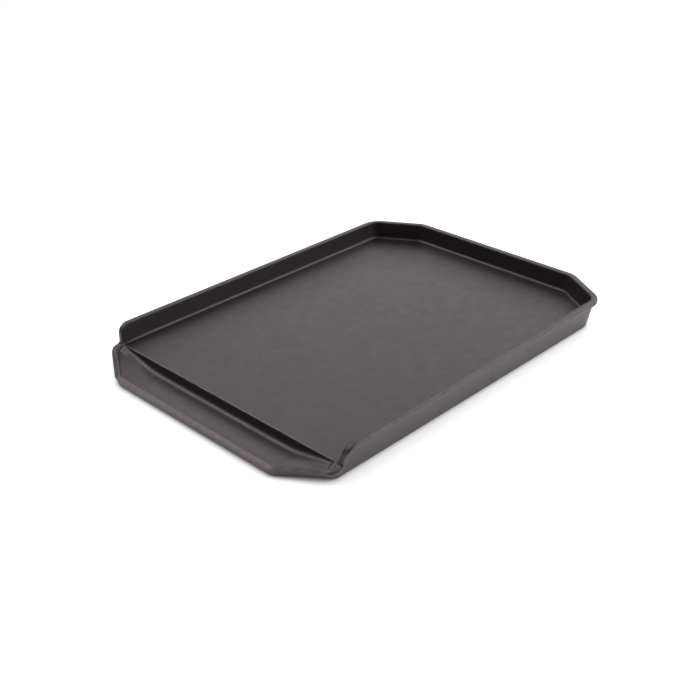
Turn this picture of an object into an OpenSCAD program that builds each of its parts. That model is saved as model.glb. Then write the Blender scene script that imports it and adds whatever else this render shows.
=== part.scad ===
// Cast griddle plate: a flat cooking floor with a rim on three sides, and a
// stepped-down grease trough with a low lip across the open drain end.
// Frame: +X towards the closed far end, +Z up, resting face at Z = 0,
// origin under the middle of the plate. Millimetres.

/* [Overall] */
// Length over the far rim and the front lip
plate_l = 444; // [390:1:520]
// Width over the two side rims
plate_w = 320; // [280:1:400]
// Height of the rim above the resting face
rim_h = 32.5; // [28:0.5:45]
// Casting draft of every wall, measured from upright
draft = 12; // [6:1:15]

/* [Cooking floor] */
// Height of the cooking face above the resting face
floor_h = 13.5; // [12:0.5:17]
// Thickness of the cooking floor
floor_t = 5; // [4:0.5:6]
// Radius of the hollow between the floor and the walls
floor_fillet = 6; // [3:0.5:8]

/* [Rim and walls] */
// Width of the rim bead
rim_t = 6.5; // [5:0.5:8]
// Height of the rim bead
rim_bead_h = 5.5; // [4:0.5:7]
// Edge radius of the rim bead
rim_round = 1.8; // [1:0.1:1.9]
// How far the rim bead stands out over the wall below it
rim_over = 3.6; // [2:0.2:4.5]
// Wall thickness, measured level
wall_t = 3.7; // [3:0.1:5]
// Radius of the outer bottom edge
foot_round = 3; // [1:0.5:3.5]

/* [Far corners] */
// Length that each far corner cut takes off the side
far_cut_x = 32.5; // [24:0.5:45]
// Width that each far corner cut takes off the far end
far_cut_y = 54; // [44:0.5:70]
// Corner radius of the rim, seen from above
far_corner_r = 24; // [20:1:28]

/* [Drain end] */
// From the front lip's outer face to the edge of the cooking floor
drain_l = 39; // [36:0.5:48]
// Radius at the top of each wall's front end
wall_end_r = 14; // [8:0.5:16]
// Radius where each wall's front end runs into the lip
wall_end_fillet = 4; // [2:0.5:6]
// Height of the trough along the foot of the step
trough_low_h = 4; // [3:0.25:5]
// Height of the trough where it meets the lip
trough_high_h = 7.6; // [6:0.1:8]
// How far each climbing end of the trough reaches in past the lip's corner
trough_end_past = 5.5; // [1:0.5:20]
// Radius along the foot of the step
trough_fillet = 2.5; // [1:0.25:4]
// Thickness of the step below the cooking floor
step_t = 5; // [4:0.5:8]

/* [Front lip] */
// Height of the lip above the resting face
lip_h = 10.3; // [9:0.1:11.5]
// Width of the lip's crest
lip_t = 5.5; // [4.5:0.1:6]
// Height of the lip's crest band
lip_bead_h = 4; // [3.6:0.1:5]
// Edge radius of the lip's crest
lip_round = 1.6; // [0.8:0.1:1.7]
// How far the lip's sides lie inside the side rims
lip_inset = 6; // [5.5:0.1:6.5]
// Length that each front corner cut takes off the side
lip_cut_x = 28; // [22:0.5:29]
// Width that each front corner cut takes off the front
lip_cut_y = 46; // [38:0.5:52]

/* [Underside ribs] */
// Thickness of the stiffening ribs
rib_t = 4; // [3:0.5:6]
// Depth of the ribs below the cooking floor
rib_h = 5; // [3:0.5:6]
// From the middle rib to each outer rib
rib_gap = 74; // [50:1:84]

/* [Hidden] */
$fn = 64;

// Colours of the seasoned iron: cooking face, outer faces, edges, underside
face_colour = [0.29, 0.29, 0.285];
wall_colour = [0.25, 0.25, 0.25];
edge_colour = [0.33, 0.33, 0.325];
under_colour = [0.20, 0.20, 0.20];

half_w = plate_w / 2;
x_far = plate_l / 2;
x_front = -plate_l / 2;
lean = tan(draft);
floor_under = floor_h - floor_t;
bead_under = rim_h - rim_bead_h;

// Wall section, measured inwards from the rim's outer line
function wall_out(z) = rim_over + (bead_under - z) * lean;
function wall_in(z) = wall_out(z) + wall_t;
fillet_reach = floor_fillet * (1 / cos(draft) - lean);
wall_seam = wall_in(floor_h) + fillet_reach;

// Step face between the cooking floor and the trough, at height z
x_edge = x_front + drain_l;
function step_x(z) = x_edge - (floor_h - z) * lean;

// Lip section, measured inwards from the lip's outer line
lip_seam = wall_seam - lip_inset;
lip_bead_under = lip_h - lip_bead_h;
// Thickness left where the hollow at a wall's front end runs out
hollow_edge = 0.3;
function lip_out(z) = (lip_h - z) * lean;
x_lip_seam = x_front + lip_seam;
y_seam = half_w - wall_seam;

// Path headings and corners on the right-hand side, in degrees and millimetres
far_a = atan2(far_cut_y, far_cut_x);
far_side = [x_far - far_cut_x, -half_w];
far_end = [x_far, -half_w + far_cut_y];
lip_a = 360 - atan2(lip_cut_y, lip_cut_x);
lip_end = [x_front, -half_w + lip_inset + lip_cut_y];
lip_side = [x_front + lip_cut_x, -half_w + lip_inset];

function heading(a) = [cos(a), sin(a)];
function inward(a) = [-sin(a), cos(a)];
function turn_tan(a_in, a_out) = tan((a_out - a_in) / 2);
// Corner of a path moved inwards by d, between headings a_in and a_out
function inset(p, a_in, a_out, d) =
    p + d * (inward(a_in) - turn_tan(a_in, a_out) * heading(a_in));

// Inner corners of the lip, and the trough's full-depth middle stretch between them
lip_end_seam = inset(lip_end, 270, lip_a, lip_seam);
lip_side_seam = inset(lip_side, lip_a, 360, lip_seam);
trough_half_w = -lip_end_seam.y - trough_end_past;

bend_side = far_corner_r * turn_tan(0, far_a);
bend_end = far_corner_r * turn_tan(far_a, 90);
far_cut_len = norm(far_end - far_side);
lip_cut_len = norm(lip_side - lip_end);

// A section carried straight from p along heading a
module run(p, a, len) {
    translate([p.x, p.y, 0])
        rotate([0, 0, a])
            rotate([90, 0, 90])
                linear_extrude(len)
                    children();
}

// A section carried round a corner of radius r at p
module bend(p, a_in, a_out, r) {
    c = inset(p, a_in, a_out, r);
    translate([c.x, c.y, 0])
        rotate([0, 0, a_in - 90])
            rotate_extrude(angle = a_out - a_in, $fn = 96)
                translate([r, 0])
                    mirror([1, 0])
                        children();
}

// A straight run whose ends are mitred for the turns t0 and t1
module mitred_run(p, a, len, t0, t1) {
    intersection() {
        run(p, a, len) children();
        translate([p.x, p.y, 0])
            rotate([0, 0, a])
                linear_extrude(rim_h)
                    polygon([[0, 0], [len, 0], [len - wall_seam * t1, wall_seam],
                        [wall_seam * t0, wall_seam]]);
    }
}

// A side view, drawn in X and Z, carried across the plate from y0 to y1
module across(y0, y1) {
    translate([0, y1, 0])
        rotate([90, 0, 0])
            linear_extrude(y1 - y0)
                children();
}

// Bead section, w wide and h high with corners of radius r
module rounded_box(w, h, r) {
    translate([r, 0]) square([w - 2 * r, h]);
    translate([0, r]) square([w, h - 2 * r]);
    for (x = [r, w - r], y = [r, h - r])
        translate([x, y]) circle(r);
}

// Corner to take off a foot so that an arc joins the drafted face and the base
module foot_edge_trim(foot_u) {
    c_u = foot_u - foot_round * lean + foot_round / cos(draft);
    difference() {
        polygon([[foot_u, 0], [c_u, 0],
            [c_u - foot_round * cos(draft), foot_round - foot_round * sin(draft)]]);
        translate([c_u, foot_round]) circle(foot_round);
    }
}

// Drafted wall with its rim bead, its foot and the hollow above the floor's edge
module wall_section() {
    c = [wall_seam, floor_h + floor_fillet];
    on_wall = c - floor_fillet * [cos(draft), sin(draft)];
    top = bead_under + rim_bead_h / 2;
    translate([0, bead_under]) rounded_box(rim_t, rim_bead_h, rim_round);
    difference() {
        polygon([[wall_out(0), 0], [wall_seam, 0], [wall_seam, floor_h], on_wall,
            [wall_in(top), top], [wall_out(top), top]]);
        translate(c) circle(floor_fillet);
        foot_edge_trim(wall_out(0));
    }
}

// Low lip with a rounded crest, sloping down inside to the trough
module lip_section() {
    top = lip_h - lip_round;
    translate([0, lip_bead_under]) rounded_box(lip_t, lip_bead_h, lip_round);
    difference() {
        polygon([[lip_out(0), 0], [lip_seam, 0], [lip_seam, trough_high_h], [lip_t, top],
            [lip_out(top), top]]);
        foot_edge_trim(lip_out(0));
    }
}

// Everything behind the step face
module behind_step() {
    polygon([[step_x(-1), -1], [x_far, -1], [x_far, rim_h], [step_x(rim_h), rim_h]]);
}

// Room in front of the step face, with the wall ends' rounded top corner
module drain_room() {
    c = [step_x(rim_h - wall_end_r) + wall_end_r / cos(draft), rim_h - wall_end_r];
    on_step = c + wall_end_r * [-cos(draft), sin(draft)];
    difference() {
        polygon([[x_front - 1, -1], [step_x(-1), -1], on_step, c, [c.x, rim_h + 1],
            [x_front - 1, rim_h + 1]]);
        translate(c) circle(wall_end_r);
    }
}

// Hollow between a wall's front end and the crest of the lip
module wall_end_hollow() {
    r = wall_end_fillet;
    c = [step_x(lip_h + r) - r / cos(draft) - hollow_edge, lip_h + r + hollow_edge];
    z_top = c.y - r * sin(draft);
    difference() {
        polygon([[step_x(lip_bead_under), lip_bead_under], [step_x(z_top), z_top],
            [c.x, z_top], [c.x, lip_bead_under]]);
        translate(c) circle(r);
    }
}

// Outline of the cooking floor seen from above, from x0 to the far wall
module floor_plan(x0) {
    r = far_corner_r - wall_seam;
    c_side = inset(far_side, 0, far_a, far_corner_r);
    c_end = inset(far_end, far_a, 90, far_corner_r);
    right = [[x0, -y_seam], c_side - r * inward(0), c_side - r * inward(far_a),
        c_end - r * inward(far_a), c_end - r * inward(90)];
    polygon(concat(right, [for (i = [4:-1:0]) [right[i].x, -right[i].y]]));
    for (c = [c_side, c_end], s = [1, -1])
        translate([c.x, s * c.y]) circle(r);
}

// Flat plate that carries the food, its front edge on the step face
module cooking_floor() {
    color(face_colour)
        difference() {
            translate([0, 0, floor_under])
                linear_extrude(floor_t)
                    floor_plan(x_front);
            across(-half_w, half_w) drain_room();
        }
}

// Long wall, its front end cut to the step face with a rounded top
module side_wall() {
    x_bend = far_side.x - bend_side;
    color(wall_colour)
        difference() {
            run([x_front, -half_w], 0, x_bend - x_front) wall_section();
            across(-half_w - 1, 0) drain_room();
        }
}

// Short stretch of lip beside the trough, hollowed up to the wall's front end
module side_lip() {
    color(edge_colour) {
        difference() {
            mitred_run(lip_side, 0, drain_l, turn_tan(lip_a, 360), 0) lip_section();
            across(-half_w, 0) behind_step();
        }
        across(lip_inset + lip_round - half_w, lip_inset + lip_t - lip_round - half_w)
            wall_end_hollow();
    }
}

// Slanting wall across a far corner
module corner_wall() {
    color(wall_colour)
        run(far_side + bend_side * heading(far_a), far_a, far_cut_len - bend_side - bend_end)
            wall_section();
}

// Bend from a side wall into the slanting wall
module side_bend() {
    color(wall_colour) bend(far_side, 0, far_a, far_corner_r) wall_section();
}

// Bend from the slanting wall into the far wall
module end_bend() {
    color(wall_colour) bend(far_end, far_a, 90, far_corner_r) wall_section();
}

module left_wall() { mirror([0, 1, 0]) side_wall(); }

module right_wall() { side_wall(); }

module far_left_wall() { mirror([0, 1, 0]) corner_wall(); }

module far_right_wall() { corner_wall(); }

module left_side_bend() { mirror([0, 1, 0]) side_bend(); }

module right_side_bend() { side_bend(); }

module left_end_bend() { mirror([0, 1, 0]) end_bend(); }

module right_end_bend() { end_bend(); }

// Wall across the far end, between its two bends
module far_wall() {
    start = far_end + bend_end * heading(90);
    color(wall_colour) run(start, 90, -2 * start.y) wall_section();
}

// Upright step that carries the floor's front edge and closes the trough
module trough_step() {
    color(wall_colour)
        across(-y_seam, y_seam)
            polygon([[step_x(0), 0], [step_x(0) + step_t, 0],
                [step_x(floor_under) + step_t, floor_under],
                [step_x(floor_under), floor_under]]);
}

// Middle stretch of the trough, falling from the lip to the foot of the step
module trough_floor() {
    foot = [step_x(trough_low_h), trough_low_h];
    rim = [x_lip_seam, trough_high_h];
    fall = atan2(trough_high_h - trough_low_h, foot.x - x_lip_seam);
    half = (90 + draft - fall) / 2;
    leg = trough_fillet / tan(90 - half);
    on_floor = foot + leg * [-cos(fall), sin(fall)];
    on_step = foot + leg * [sin(draft), cos(draft)];
    color(edge_colour)
        across(-trough_half_w, trough_half_w)
            difference() {
                polygon([[step_x(0), 0], on_step, on_floor, rim, [x_lip_seam, 0]]);
                translate(on_step + trough_fillet * [-cos(draft), sin(draft)])
                    circle(trough_fillet);
            }
}

// End of the trough, climbing to the floor's corner so that grease runs inwards
module trough_end() {
    y0 = -trough_half_w;
    base = [[step_x(0), y0, 0], [x_lip_seam, y0, 0],
        [lip_end_seam.x, lip_end_seam.y, 0], [lip_side_seam.x, lip_side_seam.y, 0],
        [step_x(0), -y_seam, 0]];
    top = [[step_x(trough_low_h), y0, trough_low_h], [x_lip_seam, y0, trough_high_h],
        [lip_end_seam.x, lip_end_seam.y, trough_high_h],
        [lip_side_seam.x, lip_side_seam.y, trough_high_h],
        [step_x(floor_h), -y_seam, floor_h]];
    walls = [for (i = [0:4]) [i, (i + 1) % 5, (i + 1) % 5 + 5, i + 5]];
    color(edge_colour)
        polyhedron(concat(base, top),
            concat([[4, 3, 2, 1, 0]], walls, [[5, 6, 7], [5, 7, 8], [5, 8, 9]]));
}

module trough_left_end() { mirror([0, 1, 0]) trough_end(); }

module trough_right_end() { trough_end(); }

// Lip along the front, mitred at both ends
module front_lip() {
    t = turn_tan(270, lip_a);
    color(edge_colour)
        mitred_run([lip_end.x, -lip_end.y], 270, -2 * lip_end.y, t, t) lip_section();
}

// Lip across a front corner, mitred at both ends
module front_corner_lip() {
    color(edge_colour)
        mitred_run(lip_end, lip_a, lip_cut_len, turn_tan(270, lip_a), turn_tan(lip_a, 360))
            lip_section();
}

module front_left_lip() { mirror([0, 1, 0]) front_corner_lip(); }

module front_right_lip() { front_corner_lip(); }

module left_side_lip() { mirror([0, 1, 0]) side_lip(); }

module right_side_lip() { side_lip(); }

// Low rib under the cooking floor, from the step to the far wall, centred on y
module rib(y) {
    low = floor_under - rib_h;
    x_end = x_far - wall_seam;
    color(under_colour)
        across(y - rib_t / 2, y + rib_t / 2)
            polygon([[step_x(low) + step_t, low], [x_end, low], [x_end, floor_under],
                [step_x(floor_under) + step_t, floor_under]]);
}

module left_rib() { rib(rib_gap); }

module middle_rib() { rib(0); }

module right_rib() { rib(-rib_gap); }

cooking_floor();
left_wall();
right_wall();
far_wall();
far_left_wall();
far_right_wall();
left_side_bend();
right_side_bend();
left_end_bend();
right_end_bend();
trough_step();
trough_floor();
trough_left_end();
trough_right_end();
front_lip();
front_left_lip();
front_right_lip();
left_side_lip();
right_side_lip();
left_rib();
middle_rib();
right_rib();
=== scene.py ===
import bpy
import numpy as np
from mathutils import Matrix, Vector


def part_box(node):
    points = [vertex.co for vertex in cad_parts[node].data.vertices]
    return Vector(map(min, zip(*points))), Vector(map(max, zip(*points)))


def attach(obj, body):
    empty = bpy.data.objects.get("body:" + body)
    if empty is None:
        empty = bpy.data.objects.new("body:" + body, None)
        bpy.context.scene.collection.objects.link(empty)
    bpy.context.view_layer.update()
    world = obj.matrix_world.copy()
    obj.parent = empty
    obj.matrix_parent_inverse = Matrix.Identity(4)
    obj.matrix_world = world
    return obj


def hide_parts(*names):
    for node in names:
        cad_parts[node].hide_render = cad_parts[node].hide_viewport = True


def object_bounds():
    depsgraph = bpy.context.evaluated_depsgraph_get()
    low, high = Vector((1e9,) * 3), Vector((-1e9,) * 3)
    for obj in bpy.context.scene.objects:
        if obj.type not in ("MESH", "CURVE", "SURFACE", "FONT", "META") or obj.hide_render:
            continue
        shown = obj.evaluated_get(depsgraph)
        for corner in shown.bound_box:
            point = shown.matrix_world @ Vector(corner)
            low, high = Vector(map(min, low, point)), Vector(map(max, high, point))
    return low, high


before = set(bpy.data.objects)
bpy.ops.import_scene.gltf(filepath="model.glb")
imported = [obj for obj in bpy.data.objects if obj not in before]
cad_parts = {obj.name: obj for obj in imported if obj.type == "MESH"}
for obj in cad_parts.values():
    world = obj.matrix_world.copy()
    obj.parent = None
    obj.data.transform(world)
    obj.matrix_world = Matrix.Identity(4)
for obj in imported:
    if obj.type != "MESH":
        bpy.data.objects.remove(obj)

cad_low, cad_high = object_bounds()

# The casting: floor, walls, rim, trough and lip, poured in one piece of grey iron
# in a sand mould and seasoned black, so one unbroken skin with rounded edges and
# hollow corners covers every region of the plate.

# Places read off the solid model and the draft that its walls were moulded with, in metres.
# The step stands step_set further back than the solid model's.
mm = 0.001
draft = 12
lean = np.tan(np.radians(draft))
half_w = cad_high[1]
x_far = cad_high[0]
x_front = cad_low[0]
rim_top = cad_high[2]
floor_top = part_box("cooking_floor")[1][2]
floor_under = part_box("cooking_floor")[0][2]
step_set = 1.1 * mm
x_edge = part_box("cooking_floor")[0][0] + (floor_top - floor_under) * lean + step_set
skirt_in = half_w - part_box("trough_step")[1][1]
step_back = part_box("trough_step")[1][0]
crest_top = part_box("front_lip")[1][2]

# Wall section, measured inwards from the rim's outer line
wall_t = 3.7 * mm
bead_under = rim_top - 5.5 * mm
rim_over = 3.6 * mm
rim_bead = 5.2 * mm
lip_bead = 3.6 * mm
bead_root = 0.4 * mm
crest_lap = 0.2 * mm
seam_in = 14 * mm
under_in = 19 * mm
under_back = 5 * mm


def wall_out(z):
    """Outer wall face: distance in from the rim's line, growing by the draft as z falls."""
    return rim_over + (bead_under - z) * lean


def wall_in(z):
    """Inner wall face: one wall thickness inside the outer face at the same level."""
    return wall_out(z) + wall_t


def heading(a):
    """Unit vector along compass heading a in degrees, counted from +X towards +Y."""
    return np.stack([np.cos(np.radians(a)), np.sin(np.radians(a))], axis=-1)


def inward(a):
    """Unit vector to the left of heading a, which is inwards on a path run this way round."""
    return heading(a + 90)


def corner_arc(p, a_in, a_out, r, count):
    """Arc of radius r that rounds the corner p: centre minus r times the inward vector,
    for headings spread evenly from a_in to a_out. Returns the points and their headings."""
    half_turn = np.tan(np.radians(a_out - a_in) / 2)
    centre = p + r * (inward(a_in) - half_turn * heading(a_in))
    a = np.linspace(a_in, a_out, count)
    return centre - r * inward(a), a


def offset_corner(p, a_in, a_out, d):
    """The corner p of a path after both its legs move inwards by d."""
    return p + d * (inward(a_in) - np.tan(np.radians(a_out - a_in) / 2) * heading(a_in))


# Guide line round the right half, drawn where the rim's outer edge runs; along the
# front it lies lip_gap outside the lip's crest. It heads 270 along the front, 360 along
# the side and 90 along the far end.
lip_gap = 6 * mm
lip_cut = np.array([28, 46]) * mm
far_cut = np.array([32.5, 54]) * mm
lip_bend_r, side_bend_r, far_bend_r = 21 * mm, 17 * mm, 24 * mm
lip_a = 360 - np.degrees(np.arctan2(lip_cut[1], lip_cut[0]))
far_a = np.degrees(np.arctan2(far_cut[1], far_cut[0]))
lip_end = offset_corner(np.array([x_front, lip_gap + lip_cut[1] - half_w]), 270, lip_a, -lip_gap)
lip_side = offset_corner(np.array([x_front + lip_cut[0], lip_gap - half_w]), lip_a, 360, -lip_gap)
far_side = np.array([x_far - far_cut[0], -half_w])
far_end = np.array([x_far, far_cut[1] - half_w])
lip_bend, lip_bend_a = corner_arc(lip_end, 270, lip_a, lip_bend_r, count=9)
side_bend, side_bend_a = corner_arc(lip_side, lip_a, 360, side_bend_r, count=14)
rim_bend, rim_bend_a = corner_arc(far_side, 0, far_a, far_bend_r, count=19)
end_bend, end_bend_a = corner_arc(far_end, far_a, 90, far_bend_r, count=13)

front_count = 26
slant_count = 12
front_y = np.linspace(0, lip_bend[0, 1], front_count)[:-1]
front_line = np.stack([np.full_like(front_y, lip_bend[0, 0]), front_y], axis=-1)
slant = np.linspace(lip_bend[-1], side_bend[0], slant_count)[1:-1]
front_path = np.concatenate([front_line, lip_bend, slant, side_bend])
front_a = np.concatenate([np.full(len(front_line), 270.0), lip_bend_a,
                          np.full(len(slant), lip_a), side_bend_a])

# The foot stands inside the lip and cuts its corner more, so the slanting face leans out
foot_cut = np.array([35, 43]) * mm
foot_in = 2.3 * mm
foot_bend_r, foot_turn_r = 14 * mm, 6 * mm
foot_a = 360 - np.degrees(np.arctan2(foot_cut[1], foot_cut[0]))
foot_corner = np.array([x_front + foot_in, wall_out(0) - half_w])
foot_bend, _ = corner_arc(foot_corner + [0, foot_cut[1]], 270, foot_a, foot_bend_r, len(lip_bend))
foot_turn, _ = corner_arc(foot_corner + [foot_cut[0], 0], foot_a, 360, foot_turn_r, len(side_bend))
foot_path = np.concatenate([
    np.linspace([foot_corner[0], 0], foot_bend[0], front_count)[:-1], foot_bend,
    np.linspace(foot_bend[-1], foot_turn[0], slant_count)[1:-1], foot_turn])

# The seam with the trough draws in towards the side, where it becomes the floor's seam.
# share is the part of the half width at each front station; the far end repeats it.
front_seam_in = 18 * mm
plain_count = len(front_line) + len(lip_bend)
drawn_in = np.clip(np.arange(-plain_count, len(slant) + len(side_bend))
                   / (len(slant) + len(side_bend) - 1), 0, 1)
seam_u = front_seam_in + drawn_in * (seam_in - front_seam_in)
seam_front = front_path + seam_u[:, None] * inward(front_a)
share = seam_front[:, 1] / seam_front[-1, 1]

# The crest climbs from the front to the wall's end
lip_climb = 2.6 * mm
front_run = side_bend[-1, 0] - front_path[0, 0]
front_turn = np.clip((front_path[:, 0] - front_path[0, 0]) / front_run, 0, 1)
lip_top = crest_top + lip_climb * front_turn

far_slant_count = 10
far_slant = np.linspace(rim_bend[-1], end_bend[0], far_slant_count)[1:-1]
far_y = end_bend[-1, 1] * share[::-1]
far_line = np.stack([np.full_like(far_y, x_far), far_y], axis=-1)
far_path = np.concatenate([rim_bend, far_slant, end_bend[:-1], far_line])
far_path_a = np.concatenate([rim_bend_a, np.full(len(far_slant), far_a), end_bend_a[:-1],
                             np.full(len(far_line), 90.0)])


def ease(t):
    """Smooth step: 3 t^2 - 2 t^3 with t held between 0 and 1."""
    t = np.clip(t, 0, 1)
    return t * t * (3 - 2 * t)


def off_path(path, a, u, z):
    """Points at distance u inwards from a guide line and at height z."""
    u, z = np.broadcast_to(u, len(path)), np.broadcast_to(z, len(path))
    return np.column_stack([path + u[:, None] * inward(a), z])


def on_side(x, u, z):
    """Points beside the right-hand side line: x along it, u inwards from it, z up."""
    x, u, z = np.broadcast_arrays(x, u, z)
    return np.column_stack([x, u - half_w, z])


# Side line: the crest runs along the lip, hollows up the front end of the wall,
# rounds over its top corner and goes on as the rim. t is its slope in radians. The plain
# wall starts join_past behind the rounding's centre.
lip_slope = np.radians(14)
end_slope = np.radians(78)
end_shift = 0.6 * mm + step_set
end_hollow = 4 * mm
end_round = 12.5 * mm
join_past = 12 * mm
lip_points, hollow_points, end_points, round_points, rim_points, long_points = 6, 9, 7, 15, 5, 56


def step_x(z):
    """Drafted plane of the step and the wall ends: x at height z."""
    return x_edge - (floor_top - z) * lean


def up_normal(t):
    """Unit normal, in X and Z, above a line that climbs at t."""
    return np.stack([-np.sin(t), np.cos(t)], axis=-1)


lip_start = np.array([side_bend[-1, 0], lip_top[-1]])
end_start = np.array([step_x(0) - end_shift, 0])
legs = np.array([[np.cos(lip_slope), -np.cos(end_slope)], [np.sin(lip_slope), -np.sin(end_slope)]])
along = np.linalg.solve(legs, end_start - lip_start
                        + end_hollow * (up_normal(end_slope) - up_normal(lip_slope)))
hollow_c = lip_start + end_hollow * up_normal(lip_slope) \
    + along[0] * np.array([np.cos(lip_slope), np.sin(lip_slope)])
round_c = np.array([step_x(rim_top - end_round) - end_shift + end_round / np.sin(end_slope),
                    rim_top - end_round])
slope_up = np.linspace(lip_slope, end_slope, hollow_points)
slope_down = np.linspace(end_slope, 0, round_points)
hollow_arc = hollow_c - end_hollow * up_normal(slope_up)
round_arc = round_c + end_round * up_normal(slope_down)
x_join = round_c[0] + join_past
lip_run = np.linspace(lip_start, hollow_arc[0], lip_points)[1:-1]
end_run = np.linspace(hollow_arc[-1], round_arc[0], end_points)[1:-1]
rim_run = np.linspace(round_arc[-1], [x_join, rim_top], rim_points)[1:]
crest = np.concatenate([lip_run, hollow_arc, end_run, round_arc, rim_run])
slope = np.concatenate([np.full(len(lip_run), lip_slope), slope_up,
                        np.full(len(end_run), end_slope), slope_down, np.zeros(len(rim_run))])
long_x = np.linspace(x_join, rim_bend[0, 0], long_points)[1:-1]
crest = np.concatenate([crest, np.stack([long_x, np.full_like(long_x, rim_top)], axis=-1)])
slope = np.concatenate([slope, np.zeros(len(long_x))])
side_count = len(crest)
end_count = side_count - len(long_x)

# The seam with the floor: up the trough's end on ramp_count stations, which are the lip's
# and the first few of the hollow, then along the floor
hollow_share = 4
ramp_count = len(lip_run) + hollow_share
seam_drop = 2.8 * mm
seam_z = lip_top[-1] - seam_drop
ramp_t = np.arange(1, ramp_count + 1) / ramp_count
floor_t = np.linspace(0, 1, end_count - ramp_count + 1)[1:]
seam_x = np.concatenate([seam_front[-1, 0] + ramp_t * (x_edge - seam_front[-1, 0]),
                         x_edge + floor_t * (x_join - x_edge), long_x])
seam_h = np.concatenate([seam_z + ramp_t * (floor_top - seam_z),
                         np.full(side_count - ramp_count, floor_top)])

# Pocket between the ramp and the lip. It starts to close close_lead stations before the
# ramp's end and over close_span stations becomes the hollow at the wall's foot.
close_lead, close_span = 1.5, 5
pocket_past, pocket_clear = 0.5 * mm, 1.2 * mm
pocket_u, pocket_z = 11.6 * mm, 10.2 * mm
pocket_climb = 0.7
ledge_w, ledge_thin = 0.5 * mm, 0.1 * mm
station = np.arange(side_count)
closing = ease((station - ramp_count + close_lead) / close_span)
pocket_x = np.minimum(crest[:, 0] + pocket_past, x_edge - pocket_clear)
foot_x = pocket_x + closing * (seam_x - pocket_x)
foot_u = pocket_u + closing * (wall_in(floor_top) - pocket_u)
foot_z = pocket_z + pocket_climb * (seam_h - seam_z)
foot_z = foot_z + closing * (floor_top - foot_z)
ledge_u = seam_in - ledge_w + closing * (ledge_w - ledge_thin)

# Crest edges and bead: the overhang, given at five heights, thins down the wall's end
over_at = [lip_top[-1], 16 * mm, 20 * mm, bead_under, rim_top]
over_by = [3.2 * mm, 1.5 * mm, 1.8 * mm, 2.7 * mm, wall_out(rim_top)]
climb = ease((crest[:, 1] - lip_top[-1]) / (rim_top - lip_top[-1]))
over = np.interp(crest[:, 1], over_at, over_by)
bead_h = lip_bead + climb * (rim_bead - lip_bead)
crest_out = wall_out(crest[:, 1]) - over
down_x, down_z = np.sin(slope), np.cos(slope)
bead_x = crest[:, 0] + down_x * bead_h
bead_z = crest[:, 1] - down_z * bead_h
root_x = bead_x + down_x * bead_root
root_z = bead_z - down_z * bead_root
spread = np.minimum((station + 1) / end_count, 1)
base_x = np.where(station < end_count, foot_turn[-1, 0] + spread * (x_join - foot_turn[-1, 0]),
                  crest[:, 0])

# Skirt behind the step, with a rounded corner where it turns along the wall
turn_r = 4 * mm
turn_count = 6
turn = np.radians(np.clip(station / turn_count, 0, 1) * 90)
past = np.clip((station - turn_count) / (end_count - 1 - turn_count), 0, 1)
turn_x = step_back + turn_r * (1 - np.cos(turn))
skirt_x = np.where(station < end_count, turn_x + past * (x_join - step_back - turn_r), crest[:, 0])
skirt_u = skirt_in + turn_r * (1 - np.sin(turn))
under_start = step_back + under_back
under_x = np.where(station < end_count,
                   under_start + (station + 1) / end_count * (x_join - under_start), crest[:, 0])

side_corners = np.stack([
    on_side(seam_x, seam_in, seam_h),
    on_side(seam_x, ledge_u, seam_h),
    on_side(foot_x, foot_u, foot_z),
    on_side(crest[:, 0], wall_in(crest[:, 1]) + crest_lap, crest[:, 1]),
    on_side(crest[:, 0], crest_out, crest[:, 1]),
    on_side(bead_x, crest_out, bead_z),
    on_side(root_x, wall_out(root_z), root_z),
    on_side(base_x, wall_out(0), 0),
    on_side(skirt_x, skirt_u, 0),
    on_side(skirt_x, skirt_u, floor_under),
    on_side(under_x, under_in, floor_under)], axis=1)

# Front: the lip's section, low and bevelled outside, which goes over into the side lip's
# section as it rounds the corner towards the wall
front_foot_in, front_foot_drop = 13 * mm, 2.4 * mm
front_crest_in = 11.3 * mm
front_bead = 2.1 * mm
front_bevel, front_fall = 3.6 * mm, 0.1 * mm
front_root_in = lip_gap + 0.75 * mm
front_ledge_share, front_ledge_up = 0.55, 0.2 * mm
toward_side = ease((front_a - lip_a) / (360 - lip_a))
lip_foot_u = front_foot_in + toward_side * (pocket_u - front_foot_in)
lip_foot_z = lip_top - front_foot_drop + toward_side * (pocket_z - lip_top + front_foot_drop)
lip_bevel = front_bevel * (1 - toward_side)
lip_fall = front_fall * (1 - toward_side)
lip_bead_h = front_bead + toward_side * (lip_bead - front_bead)
crest_in_draw = front_crest_in - wall_in(lip_top[-1]) - crest_lap
crest_out_draw = lip_gap - wall_out(lip_top[-1]) + over[0]
lip_in = front_crest_in - crest_in_draw * toward_side
lip_out = lip_gap - crest_out_draw * toward_side
side_root = wall_out(lip_top - lip_bead - bead_root)
lip_root_u = front_root_in + toward_side * (side_root - front_root_in)
lip_ledge_u = lip_foot_u + front_ledge_share * (seam_u - lip_foot_u)
front_z = np.zeros(len(front_path))
inner_y = -share * (half_w - skirt_in - turn_r)
front_corners = np.stack([
    off_path(front_path, front_a, seam_u, lip_top - seam_drop),
    off_path(front_path, front_a, lip_ledge_u, lip_top - seam_drop + front_ledge_up),
    off_path(front_path, front_a, lip_foot_u, lip_foot_z),
    off_path(front_path, front_a, lip_in, lip_top),
    off_path(front_path, front_a, lip_out + lip_bevel, lip_top - lip_fall),
    off_path(front_path, front_a, lip_out, lip_top - lip_bead_h),
    off_path(front_path, front_a, lip_root_u, lip_top - lip_bead_h - bead_root),
    np.column_stack([foot_path, front_z]),
    np.column_stack([np.full_like(front_z, step_back - floor_under * lean), inner_y, front_z]),
    np.column_stack([np.full_like(front_z, step_back), inner_y, front_z + floor_under]),
    np.column_stack([np.full_like(front_z, under_start),
                     -share * (half_w - under_in), front_z + floor_under])], axis=1)

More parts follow.
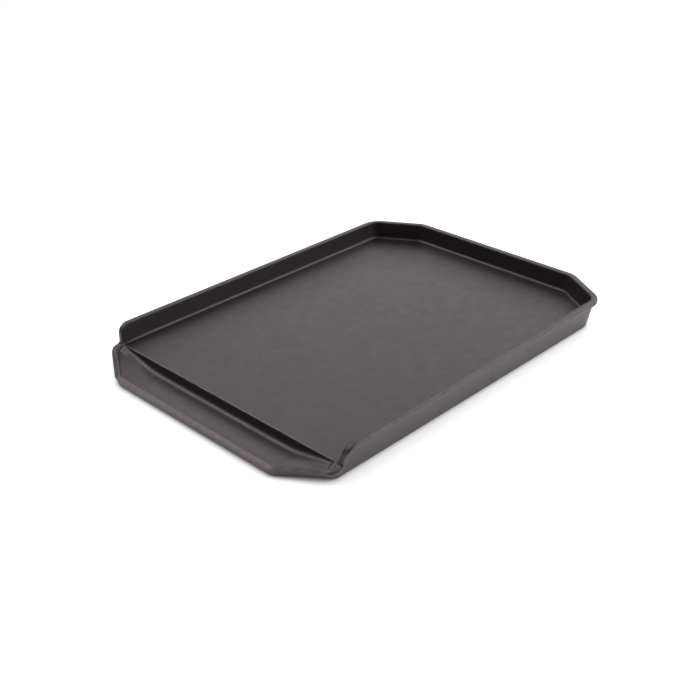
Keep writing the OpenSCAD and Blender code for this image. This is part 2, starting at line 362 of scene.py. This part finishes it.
# Far end: the plain wall section, its rim a little wider than along the sides
far_rim_more = 0.9 * mm
widening = ease(np.arange(len(far_path)) / len(rim_bend))
far_rim = wall_in(rim_top) + crest_lap + far_rim_more * widening
far_bead_z = rim_top - rim_bead
far_root_z = far_bead_z - bead_root
far_section = [(seam_in, floor_top), (seam_in - ledge_thin, floor_top),
               (wall_in(floor_top), floor_top), (far_rim, rim_top), (0, rim_top),
               (0, far_bead_z), (wall_out(far_root_z), far_root_z), (wall_out(0), 0),
               (skirt_in, 0), (skirt_in, floor_under), (under_in, floor_under)]
far_corners = np.stack([off_path(far_path, far_path_a, u, z) for u, z in far_section], axis=1)

# Length that each corner's rounding takes from its legs, on the wall and on the lip. The
# corners are seam, ledge, foot, crest inside, crest outside, bead, root, base, the skirt's
# lower and upper corner, and the underside's seam.
wall_reach = np.array([0, 0.02, 3.0, 1.4, 2.6, 1.6, 2.0, 2.4, 0.8, 2.0, 0]) * mm
lip_reach = np.array([0, 0.8, 1.6, 0.8, 1.6, 0.8, 1.0, 2.4, 0.8, 2.0, 0]) * mm


def rounded(corners, reach, arc_points=7, support=0.5 * mm, fair=0.94, near=0.03):
    """Profile through corners with each one rounded: a quadratic curve between the points
    that lie one reach along its two legs, held to a fair part of its share of each leg, with
    a support point near each end of the curve. corners is stations by corners by 3."""
    t = np.linspace(0, 1, arc_points)[None, :, None]
    rows = [corners[:, :1]]
    for i in range(1, corners.shape[1] - 1):
        c = corners[:, i]
        back, ahead = corners[:, i - 1] - c, corners[:, i + 1] - c
        back_l = np.linalg.norm(back, axis=1) + 1e-12
        ahead_l = np.linalg.norm(ahead, axis=1) + 1e-12
        part_back = reach[:, i] / (reach[:, i] + reach[:, i - 1] + 1e-12)
        part_ahead = reach[:, i] / (reach[:, i] + reach[:, i + 1] + 1e-12)
        room = np.minimum(back_l * part_back, ahead_l * part_ahead)
        r = np.minimum(reach[:, i], fair * room)
        edge = np.minimum(support, near * room)
        back, ahead = back / back_l[:, None], ahead / ahead_l[:, None]
        a, b = c + back * r[:, None], c + ahead * r[:, None]
        arc = (1 - t) ** 2 * a[:, None] + 2 * t * (1 - t) * c[:, None] + t ** 2 * b[:, None]
        rows += [(a + back * edge[:, None])[:, None], arc, (b + ahead * edge[:, None])[:, None]]
    return np.concatenate(rows + [corners[:, -1:]], axis=1)


lip_share = np.concatenate([np.ones(len(front_path)), 1 - climb, np.zeros(len(far_path))])
reach = wall_reach + lip_share[:, None] * (lip_reach - wall_reach)
right_half = rounded(np.concatenate([front_corners, side_corners, far_corners]), reach)
flip = np.array([1, -1, 1])
band = np.concatenate([right_half, (right_half * flip)[-2:0:-1]])

# Floor and trough: columns run from the lip's seam down the trough and over the step onto
# the floor. The step's foot climbs towards the trough's ends, so the step tapers out.
column_y = np.concatenate([share[::-1], -share[1:]]) * seam_front[-1, 1]
column_x = np.concatenate([seam_front[::-1, 0], seam_front[1:, 0]])
column_z = np.concatenate([lip_top[::-1], lip_top[1:]]) - seam_drop
trough_low = 2.3 * mm
taper_from, taper_soft = 101 * mm, 12 * mm
blunt_h, blunt_w = 0.9 * mm, 4 * mm
past_from = np.abs(column_y) - taper_from
taper = past_from + np.hypot(past_from, taper_soft)
rise = taper / taper[0]
blunt = blunt_h * ease((np.abs(column_y[0]) - np.abs(column_y)) / blunt_w)
step_foot = trough_low + (floor_top - trough_low - blunt) * rise
trough_corners = np.stack([
    np.column_stack([column_x, column_y, column_z]),
    np.column_stack([step_x(step_foot), column_y, step_foot]),
    np.column_stack([np.full_like(column_y, x_edge), column_y, np.full_like(column_y, floor_top)]),
    np.column_stack([np.full_like(column_y, seam_x[ramp_count]), column_y,
                     np.full_like(column_y, floor_top)])], axis=1)
trough_reach = np.broadcast_to(np.array([0, 6.0, 1.2, 0]) * mm, (len(column_y), 4))
step_rows = rounded(trough_corners, trough_reach)
slope_t = np.linspace(0, 1, ramp_count + 1)[None, :, None]
trough_rows = step_rows[:, :1] + slope_t * (step_rows[:, 2:3] - step_rows[:, :1])
drain = np.concatenate([trough_rows, step_rows[:, 3:]], axis=1).transpose(1, 0, 2)


def cross_rows(edge, shares):
    """Level rows across the plate: each edge point's y times the share, at its x and z."""
    x, y, z = (edge[:, None, i] for i in range(3))
    flat = np.ones_like(shares)[None]
    return np.stack([x * flat, y * shares[None], z * flat], axis=-1)


shares = np.concatenate([share[::-1], -share[1:]])
far_start = len(front_path) + side_count + len(rim_bend) + len(far_slant) + len(end_bend)
floor_edge = right_half[len(front_path) + ramp_count + 1:far_start, 0]
floor_top_grid = np.concatenate([drain, cross_rows(floor_edge, shares)])
under_edge = right_half[len(front_path) - 1:far_start, -1]
under_grid = cross_rows(under_edge, shares)


def quads(rows, columns, closed):
    """Corner numbers of the grid's faces, row by row; a closed grid joins its last row
    to its first."""
    n = np.arange(rows * columns).reshape(rows, columns)
    if closed:
        n = np.concatenate([n, n[:1]])
    return np.stack([n[:-1, :-1], n[:-1, 1:], n[1:, 1:], n[1:, :-1]], axis=-1).reshape(-1, 4)


def skin(name, sheets):
    """Mesh of several grids welded where their points meet. sheets holds (points, faces,
    wear and painted highlight) and a face that the weld narrows to a triangle or a line loses its
    doubled corners."""
    start = np.cumsum([0] + [p.reshape(-1, 3).shape[0] for p, _, _ in sheets])
    points = np.concatenate([p.reshape(-1, 3) for p, _, _ in sheets])
    faces = np.concatenate([f + s for (_, f, _), s in zip(sheets, start)])
    wear_and_highlight = np.concatenate([w.ravel() for _, _, w in sheets])
    _, kept, number = np.unique(np.round(points / (2e-3 * mm)), axis=0,
                                return_index=True, return_inverse=True)
    faces = number.ravel()[faces]
    doubled = faces == np.roll(faces, -1, axis=1)
    whole = faces[~doubled.any(axis=1)]
    crossed = (whole[:, 0] == whole[:, 2]) | (whole[:, 1] == whole[:, 3])
    narrow = doubled.sum(axis=1) == 1
    thin = faces[narrow][~doubled[narrow]].reshape(-1, 3)
    mesh = bpy.data.meshes.new(name)
    mesh.from_pydata(points[kept].tolist(), [], whole[~crossed].tolist() + thin.tolist())
    mesh.attributes.new("wear_and_highlight", "FLOAT", "POINT").data.foreach_set("value", wear_and_highlight[kept])
    mesh.shade_smooth()
    mesh.update()
    piece = bpy.data.objects.new(name, mesh)
    bpy.context.scene.collection.objects.link(piece)
    return piece


# Brighter outer corners: crest edges, foot and the step's edge, more on the lip than on the rim
# and least on the wall's end. This is partly wear from handling and scraping and partly a painted
# highlight, most of all the broad highlight along the lip's bevel. Each corner's number goes from
# the first to the second along its rounding; the lip's bevel is brightened all over.
arc_rows = 9
lip_wear_and_highlight = np.array([[0, 0], [0, 0], [0.1, 0], [0.1, 0.6], [0.6, 1.2], [0, 0], [0.3, 0.3],
                     [0.3, 0.3], [0, 0]])
rim_wear_and_highlight = np.array([[0, 0], [0, 0], [0.1, 0.1], [0.2, 0.9], [0.3, 0], [0, 0], [0.3, 0.3],
                     [0.3, 0.3], [0, 0]])


def wear_and_highlight_row(corner_wear_and_highlight):
    """Wear and painted highlight along one profile: each corner's two numbers blended evenly over
    its rounding, and kept over the face between where one corner ends with the number that the next
    starts with."""
    rounding = np.linspace(*corner_wear_and_highlight.T, arc_rows)
    kept = np.concatenate([[False], corner_wear_and_highlight[:-1, 1] == corner_wear_and_highlight[1:, 0], [False]])
    rounding[0] *= kept[:-1]
    rounding[-1] *= kept[1:]
    return np.concatenate([[0], rounding.T.ravel(), [0]])


# Less wear and painted highlight on the steep face of the wall's end
end_fade = 0.75
end_wear_and_highlight = np.concatenate([np.ones(len(front_path)), 1 - end_fade * np.sin(slope),
                           np.ones(len(far_path))])
half_wear_and_highlight = end_wear_and_highlight[:, None] * (wear_and_highlight_row(rim_wear_and_highlight)
                                 + lip_share[:, None] * (wear_and_highlight_row(lip_wear_and_highlight) - wear_and_highlight_row(rim_wear_and_highlight)))
band_wear_and_highlight = np.concatenate([half_wear_and_highlight, half_wear_and_highlight[-2:0:-1]])
# The step's top edge: wear and a painted highlight
edge_wear_and_highlight = np.zeros(floor_top_grid.shape[:2])
edge_wear_and_highlight[len(drain) - arc_rows:len(drain) - 2] = 1
casting = skin("griddle_casting", [
    (band, quads(*band.shape[:2], True), band_wear_and_highlight),
    (floor_top_grid, quads(*floor_top_grid.shape[:2], False)[:, ::-1], edge_wear_and_highlight),
    (under_grid, quads(*under_grid.shape[:2], False), np.zeros(under_grid.shape[:2]))])


def seasoned_iron():
    """Matte black seasoning over sand-cast iron: fine sand grain in the bump, mottled
    grey from patchy oil, brighter and smoother where the wear_and_highlight attribute marks edges,
    which is partly wear and partly a painted highlight."""
    material = bpy.data.materials.new("seasoned_iron")
    material.use_nodes = True
    nodes, links = material.node_tree.nodes, material.node_tree.links
    shader = nodes["Principled BSDF"]
    place = nodes.new("ShaderNodeTexCoord").outputs["Object"]
    worn_and_lit_share, worn_gloss, pit_weight = 0.6, 0.08, 1.4

    def noise(scale, detail, roughness):
        node = nodes.new("ShaderNodeTexNoise")
        node.inputs["Scale"].default_value = scale
        node.inputs["Detail"].default_value = detail
        node.inputs["Roughness"].default_value = roughness
        links.new(place, node.inputs["Vector"])
        return node.outputs["Fac"]

    def ramp(fac, low, high, dark, light):
        node = nodes.new("ShaderNodeMapRange")
        node.inputs["From Min"].default_value = low
        node.inputs["From Max"].default_value = high
        node.inputs["To Min"].default_value = dark
        node.inputs["To Max"].default_value = light
        links.new(fac, node.inputs["Value"])
        return node.outputs["Result"]

    def math(kind, a, b):
        node = nodes.new("ShaderNodeMath")
        node.operation = kind
        for socket, value in zip(node.inputs, (a, b)):
            if isinstance(value, (int, float)):
                socket.default_value = value
            else:
                links.new(value, socket)
        return node.outputs["Value"]

    grain = noise(scale=1100, detail=3, roughness=0.6)
    pits = noise(scale=420, detail=2, roughness=0.5)
    mottle = noise(scale=90, detail=4, roughness=0.6)
    cloud = noise(scale=14, detail=3, roughness=0.55)

    # Edge marks, mottled: partly worn iron, partly a painted highlight
    worn_and_lit = nodes.new("ShaderNodeAttribute")
    worn_and_lit.attribute_name = "wear_and_highlight"
    rubbed_and_lit = math("MULTIPLY", worn_and_lit.outputs["Fac"], ramp(mottle, 0.35, 0.6, 0.35, 1.0))

    tone = math("ADD", ramp(cloud, 0.3, 0.7, 0.0, 0.55), ramp(mottle, 0.3, 0.7, 0.0, 0.3))
    tone = math("ADD", tone, ramp(grain, 0.3, 0.7, 0.0, 0.15))
    colour = nodes.new("ShaderNodeMix")
    colour.data_type = "RGBA"
    colour.inputs["A"].default_value = (0.0017, 0.0015, 0.0016, 1)
    colour.inputs["B"].default_value = (0.0042, 0.0036, 0.0038, 1)
    links.new(tone, colour.inputs["Factor"])
    # Lighter colour where the edges are marked: worn iron and a painted highlight
    bright = nodes.new("ShaderNodeMix")
    bright.data_type = "RGBA"
    bright.inputs["B"].default_value = (0.15, 0.137, 0.141, 1)
    links.new(math("MULTIPLY", rubbed_and_lit, worn_and_lit_share), bright.inputs["Factor"])
    links.new(colour.outputs["Result"], bright.inputs["A"])
    links.new(bright.outputs["Result"], shader.inputs["Base Color"])

    shader.inputs["IOR"].default_value = 1.68
    shader.inputs["Specular Tint"].default_value = (1.0, 0.81, 0.855, 1)
    gloss = math("ADD", ramp(mottle, 0.3, 0.7, 0.435, 0.505), ramp(cloud, 0.3, 0.7, -0.008, 0.008))
    smoothed = math("SUBTRACT", gloss, math("MULTIPLY", rubbed_and_lit, worn_gloss))
    links.new(smoothed, shader.inputs["Roughness"])

    bump = nodes.new("ShaderNodeBump")
    bump.inputs["Strength"].default_value = 0.28
    bump.inputs["Distance"].default_value = 0.12 * mm
    links.new(math("ADD", grain, math("MULTIPLY", pits, pit_weight)), bump.inputs["Height"])
    links.new(bump.outputs["Normal"], shader.inputs["Normal"])
    return material


iron = seasoned_iron()
casting.data.materials.append(iron)
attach(casting, "root")
ribs = ["left_rib", "middle_rib", "right_rib"]
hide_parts(*[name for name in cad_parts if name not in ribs])

# The ribs: three low bars cast on under the floor against warping, drawn with a
# little draft and rounded edges, running from the step's back to the far skirt.
rib_draft = 0.5 * mm
rib_root = 0.3 * mm
rib_round = 1.2 * mm
rib_stations = 40


def rib_skin(name):
    """Bar along X: a U-shaped section with rounded lower edges, carried from end to end,
    its top sunk a little into the floor's underside and its ends closed."""
    low, high = (np.array(corner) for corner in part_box(name))
    section = np.array([[low[1], high[2] + rib_root], [low[1] + rib_draft, low[2]],
                        [high[1] - rib_draft, low[2]], [high[1], high[2] + rib_root]])
    x = np.linspace(low[0] - rib_root, high[0] + rib_root, rib_stations)
    corners = np.concatenate([np.broadcast_to(x[:, None, None], (len(x), 4, 1)),
                              np.broadcast_to(section, (len(x), 4, 2))], axis=2)
    bar = rounded(corners, np.full((len(x), 4), rib_round))
    middle = bar.mean(axis=1, keepdims=True)
    bar = np.concatenate([bar, bar[:, :1]], axis=1)
    cap = np.broadcast_to(middle[[0, -1]], (2, bar.shape[1], 3))
    bar = np.concatenate([cap[:1], bar, cap[1:]])
    return skin(name + "_bar", [(bar, quads(*bar.shape[:2], False), np.zeros(bar.shape[:2]))])


for rib in ribs:
    bar = rib_skin(rib)
    bar.data.materials.append(iron)
    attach(bar, "root")
    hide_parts(rib)

# The stage: a wide white table under the plate, seen as pure white where nothing
# shades it, so that only the soft shadow round the plate's foot is left on it. That shadow is
# partly the lamps' and partly painted shade: ambient occlusion darkens the table's glow near the
# plate. In the iron's reflections the table glows brighter, a painted reflection.
table_r = 1.8
table_corners = 96
ring = np.linspace(0, 2 * np.pi, table_corners + 1)[:-1]
table_mesh = bpy.data.meshes.new("table")
ring_points = np.column_stack([table_r * np.cos(ring), table_r * np.sin(ring), np.zeros_like(ring)])
table_mesh.from_pydata(ring_points.tolist(), [], [list(range(table_corners))])
table = bpy.data.objects.new("table", table_mesh)
bpy.context.scene.collection.objects.link(table)
paper = bpy.data.materials.new("white_table")
paper.use_nodes = True
paper_nodes, paper_links = paper.node_tree.nodes, paper.node_tree.links
paper_shader = paper_nodes["Principled BSDF"]
paper_shader.inputs["Base Color"].default_value = (0.82, 0.815, 0.81, 1)
paper_shader.inputs["Roughness"].default_value = 0.9
# The table's glow, and how much brighter the iron mirrors it: a painted reflection
paper_glow = 0.62
painted_reflection_gain = 1.45
wide_reach, foot_reach = 24 * mm, 4 * mm
least_share = 0.4
seen = paper_nodes.new("ShaderNodeLightPath")


def paper_math(kind, a, b):
    """Math node of the table's material between two sockets, or a socket and a number."""
    node = paper_nodes.new("ShaderNodeMath")
    node.operation = kind
    paper_links.new(a, node.inputs[0])
    if isinstance(b, float):
        node.inputs[1].default_value = b
    else:
        paper_links.new(b, node.inputs[1])
    return node.outputs["Value"]


def open_share(distance):
    """Share of the sky over a point of the table that nothing closes off within a distance."""
    node = paper_nodes.new("ShaderNodeAmbientOcclusion")
    node.inputs["Distance"].default_value = distance
    return node.outputs["AO"]


def lifted(share, least):
    """The share stretched so that it starts from least and still ends at 1."""
    node = paper_nodes.new("ShaderNodeMapRange")
    node.inputs["To Min"].default_value = least
    paper_links.new(share, node.inputs["Value"])
    return node.outputs["Result"]


# Painted shade: ambient occlusion darkens the table's glow, widely near the plate and most at its
# foot
wide_painted_shade = lifted(open_share(wide_reach), least_share)
foot_painted_shade = open_share(foot_reach)
direct = paper_math("MULTIPLY", wide_painted_shade, foot_painted_shade)
# Painted reflection: the table as the iron mirrors it glows brighter, with a lighter painted shade
# at the foot
painted_reflection = paper_math("MULTIPLY", wide_painted_shade, lifted(foot_painted_shade, least_share))
painted_reflection = paper_math("MULTIPLY", painted_reflection, painted_reflection_gain)
glow = paper_math("MAXIMUM", paper_math("MULTIPLY", direct, seen.outputs["Is Camera Ray"]),
                  paper_math("MULTIPLY", painted_reflection, seen.outputs["Is Glossy Ray"]))
paper_shader.inputs["Emission Color"].default_value = (1, 1, 1, 1)
paper_links.new(paper_math("MULTIPLY", glow, paper_glow), paper_shader.inputs["Emission Strength"])
table_mesh.materials.append(paper)

# The light: a wide soft box behind the plate, a brighter one high on either side, a dim
# one overhead, and a dim room all round that the camera sees as white.
room_level = 0.09
world = bpy.data.worlds.new("studio")
bpy.context.scene.world = world
world.use_nodes = True
sky = world.node_tree.nodes["Background"]
sky_seen = world.node_tree.nodes.new("ShaderNodeLightPath")
sky_level = world.node_tree.nodes.new("ShaderNodeMapRange")
sky_level.inputs["To Min"].default_value = room_level
sky_level.inputs["To Max"].default_value = 1.0
world.node_tree.links.new(sky_seen.outputs["Is Camera Ray"], sky_level.inputs["Value"])
world.node_tree.links.new(sky_level.outputs["Result"], sky.inputs["Strength"])
sky.inputs["Color"].default_value = (1, 1, 1, 1)


def soft_box(name, bearing, climb, away, wide, tall, level):
    """Rectangular lamp facing the plate from a bearing in degrees from +X and a climb in
    degrees above the table. Its power is pi times its area times the level of its face."""
    lamp = bpy.data.lights.new(name, "AREA")
    lamp.shape = "RECTANGLE"
    lamp.size, lamp.size_y = wide, tall
    lamp.energy = np.pi * wide * tall * level
    box = bpy.data.objects.new(name, lamp)
    bpy.context.scene.collection.objects.link(box)
    out = np.array([*heading(bearing) * np.cos(np.radians(climb)), np.sin(np.radians(climb))])
    across = np.array([*heading(bearing + 90), 0])
    turn = np.eye(4)
    turn[:3, :3] = np.stack([across, np.cross(out, across), out], axis=1)
    turn[:3, 3] = away * out
    box.matrix_world = Matrix(turn.tolist())


soft_box("back_box", bearing=27, climb=31, away=2.6, wide=3.5, tall=2.0, level=1.45)
soft_box("left_box", bearing=113, climb=51, away=2.4, wide=2.2, tall=1.4, level=3.2)
soft_box("right_box", bearing=-46, climb=38, away=2.4, wide=2.2, tall=1.5, level=3.5)
soft_box("top_box", bearing=225, climb=80, away=2.4, wide=1.6, tall=1.6, level=0.9)

# The camera: off the drain end's right corner, looking down at 29 degrees, with the
# slight roll that the photograph has.
azimuth, elevation, roll = np.radians([-45.41, 28.9, -0.94])
camera_aim = np.array([-20.6, -5.7, 0]) * mm
camera_away = 1056.0 * mm
focal_px = 1055.2
frame_px = 700
back = np.array([np.sin(azimuth) * np.cos(elevation), -np.cos(azimuth) * np.cos(elevation),
                 np.sin(elevation)])
level = np.cross(-back, (0, 0, 1))
level /= np.linalg.norm(level)
rise = np.cross(level, -back)
view_turn = np.eye(4)
view_turn[:3, 0] = np.cos(roll) * level + np.sin(roll) * rise
view_turn[:3, 1] = -np.sin(roll) * level + np.cos(roll) * rise
view_turn[:3, 2] = back
view_turn[:3, 3] = camera_aim + camera_away * back
lens = bpy.data.cameras.new("view")
lens.sensor_width = 36
lens.lens = lens.sensor_width * focal_px / frame_px
view = bpy.data.objects.new("view", lens)
view.matrix_world = Matrix(view_turn.tolist())
bpy.context.scene.collection.objects.link(view)
bpy.context.scene.camera = view
bpy.context.scene.view_settings.view_transform = "Standard"
